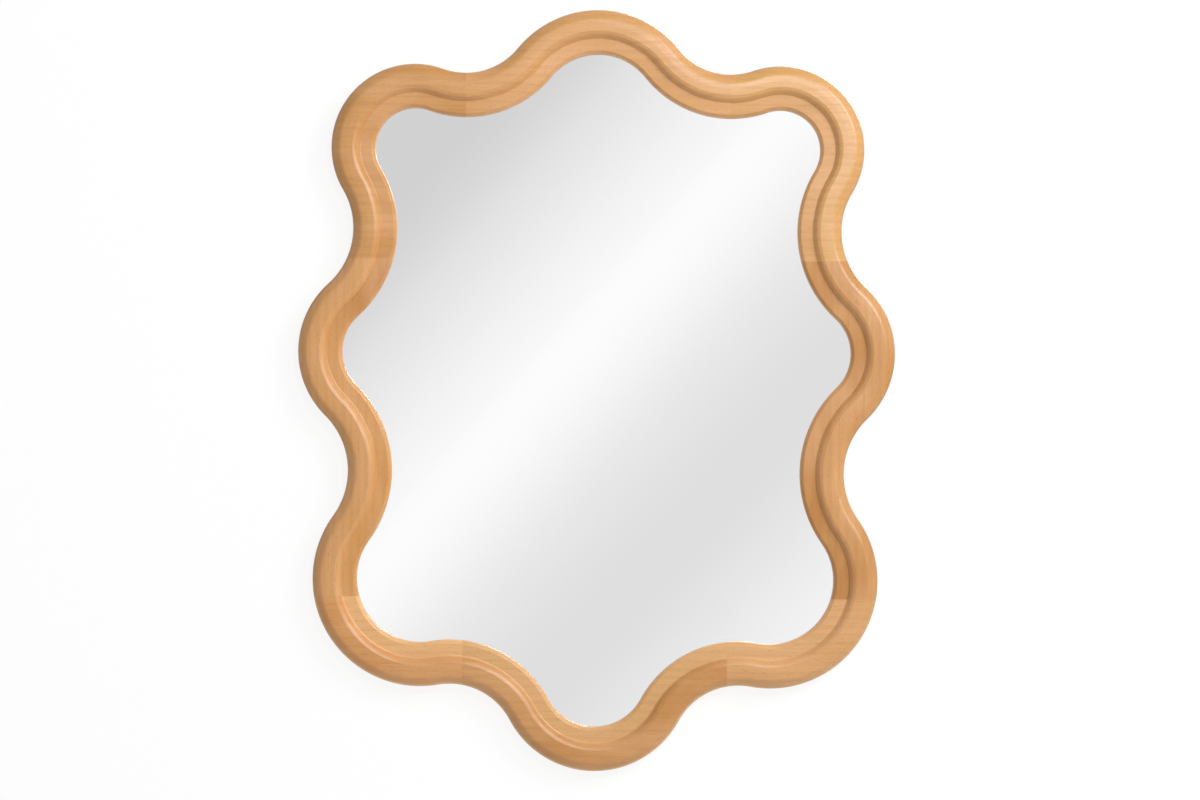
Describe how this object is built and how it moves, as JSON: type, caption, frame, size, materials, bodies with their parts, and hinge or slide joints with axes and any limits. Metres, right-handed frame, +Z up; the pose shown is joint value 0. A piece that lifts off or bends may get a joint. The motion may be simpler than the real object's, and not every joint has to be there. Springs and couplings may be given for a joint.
{
  "type": "wall mirror",
  "caption": "Wall mirror in a wavy lobed frame of glued solid wood with a stepped moulding, a board held by turn buttons, and D-ring hangers.",
  "frame": {"origin": "centre of the whole mirror, half way in width, height and depth", "axes": "+Z up as it hangs, +X to the right seen from the front, +Y back towards the wall; the glass faces -Y"},
  "size_m": [0.637, 0.0298, 0.812],
  "materials": {
    "frame_wood": "satin",
    "dowel_wood": "plain",
    "mirror_glass": "polished",
    "foam_tape": "matte",
    "backing_board": "matte",
    "button_steel": "nickel plated",
    "screw_steel": "zinc plated",
    "hanger_steel": "zinc plated",
    "ring_steel": "zinc plated",
    "bumper_rubber": "matte"
  },
  "bodies": {
    "mirror": {"frame_top": "frame_wood", "frame_corner_upper_left": "frame_wood", "frame_corner_upper_right": "frame_wood", "frame_side_left": "frame_wood", "frame_side_right": "frame_wood", "frame_corner_lower_left": "frame_wood", "frame_corner_lower_right": "frame_wood", "frame_bottom": "frame_wood", "joint_dowels": "dowel_wood", "foam_tape": "foam_tape", "mirror_glass": "mirror_glass", "backing_board": "backing_board", "button_screws": "screw_steel", "hanger_strap_left": "hanger_steel", "hanger_strap_right": "hanger_steel", "hanger_screws": "screw_steel", "wall_bumper_upper_left": "bumper_rubber", "wall_bumper_upper_right": "bumper_rubber", "wall_bumper_lower_left": "bumper_rubber", "wall_bumper_lower_right": "bumper_rubber"},
    "turn_button_top": {"turn_button_top": "button_steel"},
    "turn_button_upper_left": {"turn_button_upper_left": "button_steel"},
    "turn_button_upper_right": {"turn_button_upper_right": "button_steel"},
    "turn_button_side_left": {"turn_button_side_left": "button_steel"},
    "turn_button_side_right": {"turn_button_side_right": "button_steel"},
    "turn_button_lower_left": {"turn_button_lower_left": "button_steel"},
    "turn_button_lower_right": {"turn_button_lower_right": "button_steel"},
    "turn_button_bottom": {"turn_button_bottom": "button_steel"},
    "hanger_ring_left": {"hanger_ring_left": "ring_steel"},
    "hanger_ring_right": {"hanger_ring_right": "ring_steel"}
  },
  "joints": [
    {"name": "turn_button_top_turn", "type": "hinge", "parent": "mirror", "child": "turn_button_top", "pos_m": [0, 0.00894, 0.38125], "axis": [0, 1, 0], "continuous": true},
    {"name": "turn_button_upper_left_turn", "type": "hinge", "parent": "mirror", "child": "turn_button_upper_left", "pos_m": [-0.2321, 0.00894, 0.31099], "axis": [0, 1, 0], "continuous": true},
    {"name": "turn_button_upper_right_turn", "type": "hinge", "parent": "mirror", "child": "turn_button_upper_right", "pos_m": [0.2321, 0.00894, 0.31099], "axis": [0, 1, 0], "continuous": true},
    {"name": "turn_button_side_left_turn", "type": "hinge", "parent": "mirror", "child": "turn_button_side_left", "pos_m": [-0.2937, 0.00894, 0.04075], "axis": [0, 1, 0], "continuous": true},
    {"name": "turn_button_side_right_turn", "type": "hinge", "parent": "mirror", "child": "turn_button_side_right", "pos_m": [0.2937, 0.00894, 0.04075], "axis": [0, 1, 0], "continuous": true},
    {"name": "turn_button_lower_left_turn", "type": "hinge", "parent": "mirror", "child": "turn_button_lower_left", "pos_m": [-0.25034, 0.00894, -0.26559], "axis": [0, 1, 0], "continuous": true},
    {"name": "turn_button_lower_right_turn", "type": "hinge", "parent": "mirror", "child": "turn_button_lower_right", "pos_m": [0.25034, 0.00894, -0.26559], "axis": [0, 1, 0], "continuous": true},
    {"name": "turn_button_bottom_turn", "type": "hinge", "parent": "mirror", "child": "turn_button_bottom", "pos_m": [0, 0.00894, -0.38125], "axis": [0, 1, 0], "continuous": true},
    {"name": "hanger_ring_left_swing", "type": "hinge", "parent": "mirror", "child": "hanger_ring_left", "pos_m": [-0.266, 0.01129, 0.27015], "axis": [-1, 0, 0], "range_deg": [0, 182]},
    {"name": "hanger_ring_right_swing", "type": "hinge", "parent": "mirror", "child": "hanger_ring_right", "pos_m": [0.266, 0.01129, 0.27015], "axis": [-1, 0, 0], "range_deg": [0, 182]}
  ]
}
